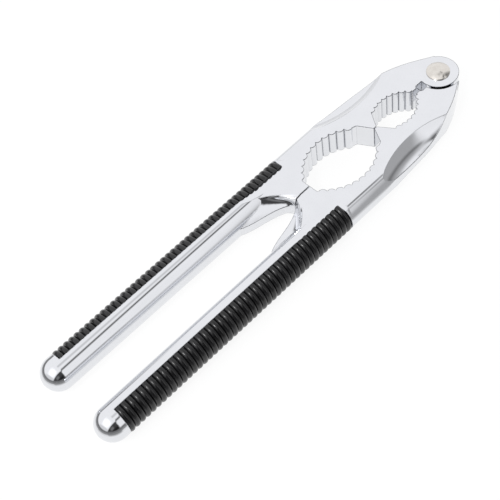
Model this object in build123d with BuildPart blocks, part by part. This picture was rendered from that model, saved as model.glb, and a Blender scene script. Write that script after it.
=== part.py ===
from build123d import *
import os

# A lever nutcracker: two identical cast arms, the second turned over, lapped and riveted at one end.
# Each arm has half of a small and of a large toothed nut opening, then a round handle whose outer half
# is a ribbed grip let into the casting.  Millimetres, +Z up.  The origin is the centre of the footprint,
# on the surface the nutcracker lies on, and the handles point along -Y.

# ---- driving dimensions ----
jaw_thickness = 9.0
handle_radius = 5.4
handle_spacing = 23.4
tip_reach = 157.3
lug_radius = 6.6
shoulder_radius = 7.5
contact_gap = 0.12
lap_gap = 0.05
hinge_clearance = 0.05
shank_radius = 2.5
tooth_height = 0.85
rib_count = 45
rib_pitch = 2.0
rib_height = 0.65
rib_proud = 0.1
grip_start = 60.0
grip_depth = 2.2
neck_proud = 0.1
cut_margin = 1.0

# ---- sizes that follow ----
half_jaw = jaw_thickness / 2
handle_x = handle_spacing / 2
outer_x = handle_x + handle_radius + neck_proud
crest_radius = handle_radius + rib_proud
valley_radius = crest_radius - rib_height
grip_length = rib_count * rib_pitch
core_radius = handle_radius - grip_depth
mid_z = crest_radius
pivot_y = (tip_reach - lug_radius) / 2

# ---- planes and axes; outlines are measured from the hinge axis, with the handles along local -Y ----
jaw_plane = Plane((0, pivot_y, mid_z))
handle_origin = (handle_x, pivot_y, mid_z)
handle_plane = Plane(handle_origin, x_dir=(0, -1, 0), z_dir=(-1, 0, 0))
handle_axis = Axis(handle_origin, (0, 1, 0))
hinge_plane = Plane((0, pivot_y, mid_z), x_dir=(1, 0, 0), z_dir=(0, -1, 0))
hinge_axis = Axis((0, pivot_y, mid_z), (0, 0, 1))
turn_axis = Axis((0, 0, mid_z), (0, 1, 0))


def tooth_row(centre, radius, start, end, count):
    """Rounded teeth on an arc about centre, from start to end degrees; radius is that of the valleys."""
    step = (end - start) / count
    for i in range(count):
        first = centre + Vector(radius, 0).rotate(Axis.Z, start + i * step)
        crest = centre + Vector(radius - tooth_height, 0).rotate(Axis.Z, start + (i + 0.5) * step)
        last = centre + Vector(radius, 0).rotate(Axis.Z, start + (i + 1) * step)
        ThreePointArc(first, crest, last)


def on_arc(centre, radius, angle):
    """The point of an arc about centre at an angle in degrees."""
    return centre + Vector(radius, 0).rotate(Axis.Z, angle)


def dome_height(radius, height, at):
    """Height, at a distance from the middle, of a spherical dome of this radius and full height."""
    sphere = (radius**2 + height**2) / (2 * height)
    return (sphere**2 - at**2) ** 0.5 - sphere + height


# ---- nut openings: arcs that carry the teeth, and the bare cusps between them ----
small_centre = Vector(-5.0, -21.0)
small_radius = 11.4
small_start = 57.0
small_end = -28.0
small_teeth = 8
large_centre = Vector(-5.9, -46.4)
large_radius = 16.2
large_start = 45.5
large_end = -55.0
large_teeth = 11
throat_half = 1.4
throat_end = 9.3
neck_of_throat = 0.75
throat_corner = -11.4
upper_cusp = (-29.6, -30.7)
lower_cusp = -62.6
cusp_flank = (5.0, -33.4)

# ---- crotch: curves around the corner of one arm at rising levels, from the thin web to the flat face ----
web_level = 1.6
web_curve = ((contact_gap, -66.6), (2.0, -69.3), (3.95, -75.2), (6.6, -84.0))
cove_level = 2.8
cove_curve = ((contact_gap, -66.2), (4.2, -69.4), (6.6, -74.0), (8.6, -81.5))
brow_level = 4.0
brow_curve = ((contact_gap, -65.9), (4.55, -68.8), (7.65, -72.4), (10.1, -79.4))
flat_curve = ((contact_gap, -64.0), (3.55, -67.1), (7.9, -72.1), (10.4, -77.6))

# ---- outer side: a leaf-shaped hollow on each face, then a round neck ----
scoop_x = 46.75
scoop_back = 26.7
scoop_origin = (scoop_x, pivot_y - scoop_back, mid_z)
scoop_plane = Plane(scoop_origin, x_dir=(-1, 0, 0), z_dir=(0, 1, 0))
scoop_axis = Axis(scoop_origin, (0, 0, 1))
scoop_radius = 36.5
scoop_width = 7.0
scoop_rim = 1.1
scoop_middle = 2.1
waist_y = -46.0
lug_side = (5.2, 4.4)
outer_curve = ((outer_x, waist_y), (16.4, -30.0), (15.4, -20.0), (13.4, -12.0), (10.2, -4.0), (7.9, 0.0), lug_side)
neck_x = outer_x - half_jaw
neck_start = 28.0
neck_plane = Plane((0, pivot_y - neck_start, mid_z), x_dir=(1, 0, 0), z_dir=(0, -1, 0))

# ---- handle: the flats of the jaw run on over its inner half, and a collar stands before the grip ----
flat_start = grip_start - 4.0
flat_end = 71.0
fade_points = ((flat_end, half_jaw), (74.6, 4.86), (77.6, 5.22), (82.0, crest_radius + cut_margin))
collar_start = grip_start - 2.5
collar_drop = 1.2
collar_chamfer = 1.7

# ---- rivet ----
head_radius = 3.8
head_height = 1.1
head_rim = 0.25
tail_radius = 3.4
tail_height = 0.8


def crotch_face(level, curve):
    """The corner of the plate beside the handle at one level, inside a curve."""
    start = curve[0]
    end = curve[-1]
    with BuildSketch(jaw_plane.offset(level)) as corner:
        with BuildLine():
            Spline(*curve)
            Polyline(end, (handle_x, end[1]), (handle_x, -grip_start), (contact_gap, -grip_start), start)
        make_face()
    return corner.sketch


# ---- right arm ----
with BuildPart() as right_arm:
    # Upper half of the jaw plate, with the lug's disc.
    with BuildSketch(jaw_plane):
        with BuildLine():
            Polyline(
                (0, 0),
                (throat_half, 0),
                (throat_half, -throat_end),
                (neck_of_throat, -throat_end - neck_of_throat),
                (neck_of_throat, throat_corner),
                on_arc(small_centre, small_radius, small_start),
            )
            tooth_row(small_centre, small_radius, small_start, small_end, small_teeth)
            Polyline(
                on_arc(small_centre, small_radius, small_end),
                (contact_gap, upper_cusp[0]),
                (contact_gap, upper_cusp[1]),
                cusp_flank,
                on_arc(large_centre, large_radius, large_start),
            )
            tooth_row(large_centre, large_radius, large_start, large_end, large_teeth)
            Polyline(
                on_arc(large_centre, large_radius, large_end),
                (contact_gap, lower_cusp),
                flat_curve[0],
            )
            Spline(*flat_curve)
            Polyline(
                flat_curve[-1],
                (handle_x, flat_curve[-1][1]),
                (handle_x, -grip_start),
                (outer_x, -grip_start),
                (outer_x, waist_y),
            )
            Spline(*outer_curve)
            Line(lug_side, (0, 0))
        make_face()
        Circle(lug_radius)
    extrude(amount=half_jaw)

    # Web in the crotch, the cove that rises from it, and the softer brow up to the flat face.
    extrude(crotch_face(0, web_curve), amount=web_level)
    loft([crotch_face(web_level, web_curve), crotch_face(cove_level, cove_curve), crotch_face(brow_level, brow_curve)])
    loft([crotch_face(brow_level, brow_curve), crotch_face(half_jaw, flat_curve)])

    # Round outer side of the neck.
    with BuildSketch(neck_plane):
        with Locations((neck_x, 0)):
            Rectangle(half_jaw + cut_margin, half_jaw + cut_margin, align=(Align.MIN, Align.MIN))
            Circle(half_jaw, mode=Mode.SUBTRACT)
    extrude(amount=grip_start - neck_start, mode=Mode.SUBTRACT)

    # Leaf-shaped hollow: a ring about an upright axis beside the arm.
    with BuildSketch(scoop_plane):
        with BuildLine():
            ThreePointArc(
                (scoop_radius, half_jaw),
                (scoop_radius - scoop_width / 2, scoop_middle),
                (scoop_radius - scoop_width, scoop_rim),
            )
            Polyline(
                (scoop_radius - scoop_width, scoop_rim),
                (scoop_radius - scoop_width, half_jaw + cut_margin),
                (scoop_radius, half_jaw + cut_margin),
                (scoop_radius, half_jaw),
            )
        make_face()
    revolve(axis=scoop_axis, mode=Mode.SUBTRACT)
    mirror(about=jaw_plane)

    # Round handle, with a chamfered collar where the grip begins and a ball end.
    with BuildSketch(handle_plane):
        with BuildLine():
            Polyline(
                (collar_start, 0),
                (collar_start, handle_radius - collar_drop),
                (collar_start + collar_chamfer, handle_radius),
                (tip_reach - handle_radius, handle_radius),
            )
            RadiusArc(
                (tip_reach - handle_radius, handle_radius),
                (tip_reach, 0),
                handle_radius,
            )
            Line((tip_reach, 0), (collar_start, 0))
        make_face()
    revolve(axis=handle_axis)

    # The jaw's flat faces run on over the inner half of the handle and fade out into its round.
    for side in (1, -1):
        with BuildSketch(handle_plane):
            with BuildLine():
                Polyline(
                    (flat_end, side * half_jaw),
                    (flat_start, side * half_jaw),
                    (flat_start, side * (crest_radius + cut_margin)),
                    (fade_points[-1][0], side * fade_points[-1][1]),
                )
                Spline(*[(along, side * height) for along, height in fade_points])
            make_face()
        extrude(amount=handle_radius, mode=Mode.SUBTRACT)

    # The collar is cut level with the flat faces, so the end of the grip stands proud of it.
    with BuildSketch(handle_plane):
        for side in (1, -1):
            with Locations((flat_start, side * (half_jaw + cut_margin))):
                Rectangle(grip_start - flat_start, 2 * cut_margin, align=(Align.MIN, Align.CENTER))
    extrude(amount=handle_radius, both=True, mode=Mode.SUBTRACT)

    # Recess for the grip in the outer half of the handle.
    with BuildSketch(handle_plane):
        with Locations((grip_start, core_radius)):
            Rectangle(grip_length, grip_depth + cut_margin, align=(Align.MIN, Align.MIN))
    revolve(axis=handle_axis, revolution_arc=180, mode=Mode.SUBTRACT)

    # Half lap: the upper half is cut back to a round shoulder, and the lower half keeps the lug.
    with BuildSketch(jaw_plane.offset(-lap_gap)):
        Circle(shoulder_radius)
    extrude(amount=half_jaw + cut_margin, mode=Mode.SUBTRACT)
    with BuildSketch(jaw_plane.offset(-half_jaw)):
        Circle(shank_radius + hinge_clearance)
    extrude(amount=half_jaw, mode=Mode.SUBTRACT)

# ---- left arm: the same casting turned over about the line between the arms ----
turned_arm = right_arm.part.rotate(turn_axis, 180)
with BuildPart() as left_arm:
    add(turned_arm)

# ---- grips: half shells with a rib at each pitch ----
with BuildPart() as right_grip:
    with BuildSketch(handle_plane):
        with BuildLine():
            for i in range(rib_count):
                rib_at = grip_start + i * rib_pitch
                ThreePointArc(
                    (rib_at, valley_radius),
                    (rib_at + rib_pitch / 2, crest_radius),
                    (rib_at + rib_pitch, valley_radius),
                )
            Polyline(
                (grip_start + grip_length, valley_radius),
                (grip_start + grip_length, core_radius),
                (grip_start, core_radius),
                (grip_start, valley_radius),
            )
        make_face()
    revolve(axis=handle_axis, revolution_arc=180)

turned_grip = right_grip.part.rotate(turn_axis, 180)
with BuildPart() as left_grip:
    add(turned_grip)

# ---- hinge rivet: domed head over the left lug, tail set into a low dome under the right lug ----
with BuildPart() as pivot_rivet:
    head_base = half_jaw + lap_gap
    with BuildSketch(hinge_plane):
        with BuildLine():
            ThreePointArc(
                (0, head_base + head_rim + head_height),
                (head_radius / 2, head_base + head_rim + dome_height(head_radius, head_height, head_radius / 2)),
                (head_radius, head_base + head_rim),
            )
            Polyline(
                (head_radius, head_base + head_rim),
                (head_radius, head_base),
                (shank_radius, head_base),
                (shank_radius, -lap_gap),
                (shank_radius + hinge_clearance, -lap_gap),
                (shank_radius + hinge_clearance, -half_jaw),
                (tail_radius, -half_jaw),
            )
            ThreePointArc(
                (tail_radius, -half_jaw),
                (tail_radius / 2, -half_jaw - dome_height(tail_radius, tail_height, tail_radius / 2)),
                (0, -half_jaw - tail_height),
            )
            Line((0, -half_jaw - tail_height), (0, head_base + head_rim + head_height))
        make_face()
    revolve(axis=hinge_axis)

# ---- labels and files ----
right_arm.part.label = "right_arm"
left_arm.part.label = "left_arm"
right_grip.part.label = "right_grip"
left_grip.part.label = "left_grip"
pivot_rivet.part.label = "pivot_rivet"
os.makedirs("parts", exist_ok=True)
export_step(right_arm.part, "parts/right_arm.step")
export_step(left_arm.part, "parts/left_arm.step")
export_step(right_grip.part, "parts/right_grip.step")
export_step(left_grip.part, "parts/left_grip.step")
export_step(pivot_rivet.part, "parts/pivot_rivet.step")
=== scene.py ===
import bpy
import bmesh
import math
from mathutils import Matrix, Vector


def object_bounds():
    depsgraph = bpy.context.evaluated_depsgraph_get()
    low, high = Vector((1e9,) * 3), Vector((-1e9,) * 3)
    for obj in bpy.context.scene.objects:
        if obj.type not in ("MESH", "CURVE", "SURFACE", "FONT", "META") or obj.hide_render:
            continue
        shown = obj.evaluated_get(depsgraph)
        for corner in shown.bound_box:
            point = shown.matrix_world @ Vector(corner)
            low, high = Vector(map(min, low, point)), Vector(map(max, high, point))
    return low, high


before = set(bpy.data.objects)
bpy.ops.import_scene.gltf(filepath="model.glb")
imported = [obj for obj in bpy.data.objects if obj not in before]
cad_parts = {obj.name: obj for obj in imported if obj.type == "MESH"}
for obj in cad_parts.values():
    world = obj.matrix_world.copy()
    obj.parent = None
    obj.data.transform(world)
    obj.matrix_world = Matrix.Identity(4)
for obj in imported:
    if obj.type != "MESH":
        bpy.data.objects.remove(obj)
cad_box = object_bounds()

# ---- camera: direction, roll and distance from a point on the nutcracker, in degrees and metres ----
VIEW_AZIMUTH = 53.52
VIEW_ELEVATION = 55.18
VIEW_ROLL = -10.66
VIEW_DISTANCE = 0.34967
AIM_FROM_CENTRE = Vector((0.00007, -0.01114, 0.0))
AIM_HEIGHT = 0.0054
LENS_MM = 84.69
SENSOR_MM = 36.0
NEAR_CLIP = 0.01
FAR_CLIP = 20.0

# ---- studio: floor side and round lamp, in metres and watts ----
FLOOR_SIZE = 6.0
KEY_PLACE = (0.156, -0.70, 0.96)
KEY_WIDTH = 0.24
KEY_WATTS = 3.0

# ---- edges and surface relief of the materials ----
MM = 0.001
BEVEL_SAMPLES = 8
CASTING_EDGE = 0.45 * MM
RIVET_EDGE = 0.15 * MM
WAVE_DEPTH = 0.012 * MM
GRAIN_DEPTH = 0.001 * MM
RIVET_MARK_DEPTH = 0.006 * MM
SKIN_DEPTH = 0.01 * MM


def node_tree(name):
    """A new material with a Principled shader: (material, nodes, links, shader)."""
    material = bpy.data.materials.new(name)
    material.use_nodes = True
    nodes = material.node_tree.nodes
    links = material.node_tree.links
    return material, nodes, links, nodes["Principled BSDF"]


def noise(nodes, links, scale, detail=4.0, roughness=0.5):
    """A noise texture in object space, in features per metre."""
    where = nodes.new("ShaderNodeTexCoord")
    texture = nodes.new("ShaderNodeTexNoise")
    texture.inputs["Scale"].default_value = scale
    texture.inputs["Detail"].default_value = detail
    texture.inputs["Roughness"].default_value = roughness
    links.new(where.outputs["Object"], texture.inputs["Vector"])
    return texture.outputs["Fac"]


def remap(nodes, links, value, low, high):
    """Maps a texture's middle range to low..high."""
    node = nodes.new("ShaderNodeMapRange")
    node.inputs["From Min"].default_value = 0.3
    node.inputs["From Max"].default_value = 0.7
    node.inputs["To Min"].default_value = low
    node.inputs["To Max"].default_value = high
    links.new(value, node.inputs["Value"])
    return node.outputs["Result"]


def tint(nodes, links, value, low, high):
    """Colour between two close tones, chosen by a texture value."""
    node = nodes.new("ShaderNodeValToRGB")
    node.color_ramp.elements[0].position = 0.35
    node.color_ramp.elements[0].color = (*low, 1.0)
    node.color_ramp.elements[1].position = 0.65
    node.color_ramp.elements[1].color = (*high, 1.0)
    links.new(value, node.inputs["Fac"])
    return node.outputs["Color"]


def bump(nodes, links, height, distance, strength, normal=None):
    """Bump of this depth in metres, over another normal if one is given."""
    node = nodes.new("ShaderNodeBump")
    node.inputs["Distance"].default_value = distance
    node.inputs["Strength"].default_value = strength
    links.new(height, node.inputs["Height"])
    if normal is not None:
        links.new(normal, node.inputs["Normal"])
    return node.outputs["Normal"]


def rounded_edges(nodes, radius):
    """Normal that rounds sharp edges by this radius."""
    node = nodes.new("ShaderNodeBevel")
    node.samples = BEVEL_SAMPLES
    node.inputs["Radius"].default_value = radius
    return node.outputs["Normal"]


def edge_line(nodes, links, normal, clear, dark):
    """0 on open faces rising to 1 on sharp edges, from how far rounding turns the normal."""
    face = nodes.new("ShaderNodeNewGeometry")
    agree = nodes.new("ShaderNodeVectorMath")
    agree.operation = "DOT_PRODUCT"
    links.new(normal, agree.inputs[0])
    links.new(face.outputs["Normal"], agree.inputs[1])
    node = nodes.new("ShaderNodeMapRange")
    node.interpolation_type = "SMOOTHSTEP"
    node.inputs["From Min"].default_value = clear
    node.inputs["From Max"].default_value = dark
    links.new(agree.outputs["Value"], node.inputs["Value"])
    return node.outputs["Result"]


def plated_casting():
    """Bright chrome plate on a casting: slow waviness, faint haze, and painted shade along the edges, where
    the base colour goes near black in place of the dark reflections that rounded edges show.
    """
    material, nodes, links, shader = node_tree("plated_casting")
    shader.inputs["Metallic"].default_value = 1.0
    haze = noise(nodes, links, 160.0, 5.0, 0.6)
    plate = tint(nodes, links, haze, (0.75, 0.76, 0.785), (0.77, 0.78, 0.805))
    edges = rounded_edges(nodes, CASTING_EDGE)
    # Painted shade: the base colour is mixed towards near black along edges, standing in for dark
    # reflections in the edge radii, not wear.
    painted_edge_shade = nodes.new("ShaderNodeMix")
    painted_edge_shade.data_type = "RGBA"
    links.new(edge_line(nodes, links, edges, 0.975, 0.84), painted_edge_shade.inputs["Factor"])
    links.new(plate, painted_edge_shade.inputs["A"])
    painted_edge_shade.inputs["B"].default_value = (0.06, 0.06, 0.07, 1.0)
    links.new(painted_edge_shade.outputs["Result"], shader.inputs["Base Color"])
    links.new(remap(nodes, links, haze, 0.045, 0.08), shader.inputs["Roughness"])
    waves = bump(nodes, links, noise(nodes, links, 70.0, 2.0), WAVE_DEPTH, 0.3, edges)
    grain = bump(nodes, links, noise(nodes, links, 2600.0, 3.0), GRAIN_DEPTH, 0.25, waves)
    links.new(grain, shader.inputs["Normal"])
    return material


def rivet_nickel():
    """Warmer nickel with faint uneven marks."""
    material, nodes, links, shader = node_tree("rivet_nickel")
    shader.inputs["Metallic"].default_value = 1.0
    marks = noise(nodes, links, 700.0, 3.0, 0.5)
    nickel = tint(nodes, links, marks, (0.67, 0.635, 0.59), (0.73, 0.70, 0.655))
    links.new(nickel, shader.inputs["Base Color"])
    links.new(remap(nodes, links, marks, 0.12, 0.18), shader.inputs["Roughness"])
    edges = rounded_edges(nodes, RIVET_EDGE)
    links.new(bump(nodes, links, marks, RIVET_MARK_DEPTH, 0.15, edges), shader.inputs["Normal"])
    return material


def grip_rubber():
    """Near-black moulded grip with a satin skin and a fine texture."""
    material, nodes, links, shader = node_tree("grip_rubber")
    cloud = noise(nodes, links, 220.0, 4.0)
    rubber = tint(nodes, links, cloud, (0.003, 0.003, 0.0035), (0.008, 0.008, 0.009))
    links.new(rubber, shader.inputs["Base Color"])
    links.new(remap(nodes, links, cloud, 0.18, 0.25), shader.inputs["Roughness"])
    skin = noise(nodes, links, 5200.0, 3.0, 0.6)
    links.new(bump(nodes, links, skin, SKIN_DEPTH, 0.35), shader.inputs["Normal"])
    return material


def floor_material():
    """Plain white floor that glows like a light table, with a gloss that grows at low angles."""
    material, nodes, links, shader = node_tree("pale_floor")
    tone = noise(nodes, links, 3.0, 2.0)
    links.new(tint(nodes, links, tone, (0.10, 0.10, 0.10), (0.12, 0.12, 0.12)), shader.inputs["Base Color"])
    shader.inputs["Roughness"].default_value = 0.9
    shader.inputs["Specular IOR Level"].default_value = 0.0
    shader.inputs["Emission Color"].default_value = (1.0, 1.0, 1.0, 1.0)
    shader.inputs["Emission Strength"].default_value = 0.91
    gloss = nodes.new("ShaderNodeBsdfGlossy")
    gloss.inputs["Roughness"].default_value = 0.10
    grazing = nodes.new("ShaderNodeLayerWeight")
    grazing.inputs["Blend"].default_value = 0.5
    sheen = nodes.new("ShaderNodeMapRange")
    sheen.inputs["From Min"].default_value = 0.55
    sheen.inputs["From Max"].default_value = 0.85
    sheen.inputs["To Max"].default_value = 0.85
    links.new(grazing.outputs["Facing"], sheen.inputs["Value"])
    mixed = nodes.new("ShaderNodeMixShader")
    links.new(sheen.outputs["Result"], mixed.inputs["Fac"])
    links.new(shader.outputs["BSDF"], mixed.inputs[1])
    links.new(gloss.outputs["BSDF"], mixed.inputs[2])
    links.new(mixed.outputs["Shader"], nodes["Material Output"].inputs["Surface"])
    return material


def finish_nodes(material, *names):
    """Gives CAD nodes this material in every slot."""
    for name in names:
        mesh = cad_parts[name].data
        if not mesh.materials:
            mesh.materials.append(material)
        for i in range(len(mesh.materials)):
            mesh.materials[i] = material


def add_floor():
    mesh = bpy.data.meshes.new("floor")
    form = bmesh.new()
    half = FLOOR_SIZE / 2
    level = cad_box[0][2]
    outline = ((-half, -half), (half, -half), (half, half), (-half, half))
    corners = [form.verts.new((x, y, level)) for x, y in outline]
    form.faces.new(corners)
    form.to_mesh(mesh)
    form.free()
    floor = bpy.data.objects.new("floor", mesh)
    mesh.materials.append(floor_material())
    bpy.context.scene.collection.objects.link(floor)


class Dome:
    """Sky brightness built up from soft-edged patches, placed in degrees from overhead towards +X and +Y."""

    def __init__(self, nodes, links):
        self.nodes = nodes
        self.links = links
        where = nodes.new("ShaderNodeTexCoord")
        split = nodes.new("ShaderNodeSeparateXYZ")
        links.new(where.outputs["Generated"], split.inputs["Vector"])
        x, y, z = (split.outputs[name] for name in "XYZ")
        self.down = self.math("MULTIPLY", self.math("ARCCOSINE", z), 180 / math.pi)
        flat_squared = self.math("ADD", self.square(x), self.square(y))
        flat = self.math("ADD", self.math("POWER", flat_squared, 0.5), 1e-5)
        self.east = self.math("MULTIPLY", self.down, self.math("DIVIDE", x, flat))
        self.north = self.math("MULTIPLY", self.down, self.math("DIVIDE", y, flat))
        self.light = None

    def math(self, operation, first, second=None):
        node = self.nodes.new("ShaderNodeMath")
        node.operation = operation
        for socket, value in zip(node.inputs, (first, second)):
            if value is None:
                continue
            if isinstance(value, (int, float)):
                socket.default_value = value
            else:
                self.links.new(value, socket)
        return node.outputs["Value"]

    def square(self, value):
        return self.math("MULTIPLY", value, value)

    def step(self, value, low, high):
        """0 below low, 1 above high, smooth between; or the reverse if low is above high."""
        node = self.nodes.new("ShaderNodeMapRange")
        node.interpolation_type = "SMOOTHSTEP"
        node.inputs["From Min"].default_value = min(low, high)
        node.inputs["From Max"].default_value = max(low, high)
        node.inputs["To Min"].default_value = 0.0 if low < high else 1.0
        node.inputs["To Max"].default_value = 1.0 if low < high else 0.0
        self.links.new(value, node.inputs["Value"])
        return node.outputs["Result"]

    def band(self, value, low, high, soft):
        rise = self.step(value, low - soft, low + soft)
        fall = self.step(value, high + soft, high - soft)
        return self.math("MULTIPLY", rise, fall)

    def turned(self, degrees, centre):
        """East and north from this centre, on axes turned by this angle."""
        c = math.cos(math.radians(degrees))
        s = math.sin(math.radians(degrees))
        east = self.math("SUBTRACT", self.east, centre[0])
        north = self.math("SUBTRACT", self.north, centre[1])
        along = self.math("ADD", self.math("MULTIPLY", east, c), self.math("MULTIPLY", north, s))
        across = self.math("ADD", self.math("MULTIPLY", north, c), self.math("MULTIPLY", east, -s))
        return along, across

    def patch(self, light, east, north, soft, turn=0.0, centre=(0.0, 0.0)):
        """Sets this brightness inside a rectangle of the dome."""
        along, across = self.turned(turn, centre)
        cover = self.math("MULTIPLY", self.band(along, *east, soft), self.band(across, *north, soft))
        self.cover(light, cover)

    def ring(self, light, down, soft, north):
        """Sets this brightness around the horizon, as far north as this."""
        side = self.step(self.north, north + soft, north - soft)
        self.cover(light, self.math("MULTIPLY", side, self.band(self.down, *down, soft)))

    def cover(self, light, amount):
        if self.light is None:
            self.light = light
        keep = self.math("SUBTRACT", 1.0, amount)
        below = self.math("MULTIPLY", keep, self.light)
        self.light = self.math("ADD", below, self.math("MULTIPLY", amount, light))


def studio_world():
    """A pale light tent, drawn from overhead outwards; a later patch covers an earlier one."""
    world = bpy.data.worlds.new("studio")
    bpy.context.scene.world = world
    world.use_nodes = True
    nodes = world.node_tree.nodes
    links = world.node_tree.links
    nodes.clear()
    dome = Dome(nodes, links)
    dome.light = 1.05

    # Greyer behind the hinge and low at +X, with a brighter field between them.
    dome.patch(0.45, (10, 130), (27, 95), 6)
    dome.patch(0.45, (77, 130), (-20, 40), 9)
    dome.patch(1.02, (40, 68), (2, 24), 8)

    # Grey overhead, one dark slanting bar, and two dim strips beyond it.
    dome.patch(0.72, (-6, 6), (2, 24), 5)
    dome.patch(0.10, (-17, 17), (-3.5, 3.5), 3.5, turn=-42, centre=(26, 12))
    dome.patch(0.20, (19, 25), (26, 62), 4)
    dome.patch(0.28, (-7, 6), (23, 28), 2.5)

    # The big soft box over the handles, and its paler lower edge.
    dome.patch(1.55, (-20, 20), (-54, -17), 13)
    dome.patch(0.80, (-40, 30), (-84, -60), 5)

    # Black cloth low on the +X side, with one faint glow in it.
    dome.patch(0.06, (31, 64), (-88, 1), 4)
    dome.patch(0.20, (40, 57), (-50, -26), 6)
    dome.patch(0.02, (58, 125), (-100, 2), 6)

    # Dark horizon, which outlines the round ends.
    dome.ring(0.20, (79, 92), 4, 18)

    background = nodes.new("ShaderNodeBackground")
    tone = nodes.new("ShaderNodeMix")
    tone.data_type = "RGBA"
    tone.inputs["A"].default_value = (0.0, 0.0, 0.0, 1.0)
    tone.inputs["B"].default_value = (1.0, 1.0, 1.012, 1.0)
    tone.clamp_factor = False
    links.new(dome.light, tone.inputs["Factor"])
    links.new(tone.outputs["Result"], background.inputs["Color"])
    output = nodes.new("ShaderNodeOutputWorld")
    links.new(background.outputs["Background"], output.inputs["Surface"])


def softbox(name, place, width, watts):
    """A large round area light that faces the nutcracker."""
    data = bpy.data.lights.new(name, "AREA")
    data.shape = "DISK"
    data.size = width
    data.energy = watts
    lamp = bpy.data.objects.new(name, data)
    bpy.context.scene.collection.objects.link(lamp)
    lamp.location = place
    lamp.rotation_euler = Vector(place).to_track_quat("Z", "Y").to_euler()


def add_camera():
    azimuth = math.radians(VIEW_AZIMUTH)
    elevation = math.radians(VIEW_ELEVATION)
    level_part = math.cos(elevation)
    back = Vector((math.sin(azimuth) * level_part, -math.cos(azimuth) * level_part, math.sin(elevation)))
    right = (-back).cross(Vector((0, 0, 1))).normalized()
    up = right.cross(-back)
    level = Matrix((right, up, back)).transposed()
    turned = level @ Matrix.Rotation(math.radians(VIEW_ROLL), 3, "Z")
    centre = (Vector(cad_box[0]) + Vector(cad_box[1])) / 2
    centre.z = cad_box[0][2] + AIM_HEIGHT
    data = bpy.data.cameras.new("camera")
    data.lens = LENS_MM
    data.sensor_width = SENSOR_MM
    data.clip_start = NEAR_CLIP
    data.clip_end = FAR_CLIP
    camera = bpy.data.objects.new("camera", data)
    bpy.context.scene.collection.objects.link(camera)
    place = centre + AIM_FROM_CENTRE + back * VIEW_DISTANCE
    camera.matrix_world = Matrix.Translation(place) @ turned.to_4x4()
    bpy.context.scene.camera = camera


finish_nodes(plated_casting(), "right_arm", "left_arm")
finish_nodes(grip_rubber(), "right_grip", "left_grip")
finish_nodes(rivet_nickel(), "pivot_rivet")
add_floor()
studio_world()
softbox("key_box", KEY_PLACE, KEY_WIDTH, KEY_WATTS)
add_camera()
bpy.context.scene.view_settings.view_transform = "Standard"
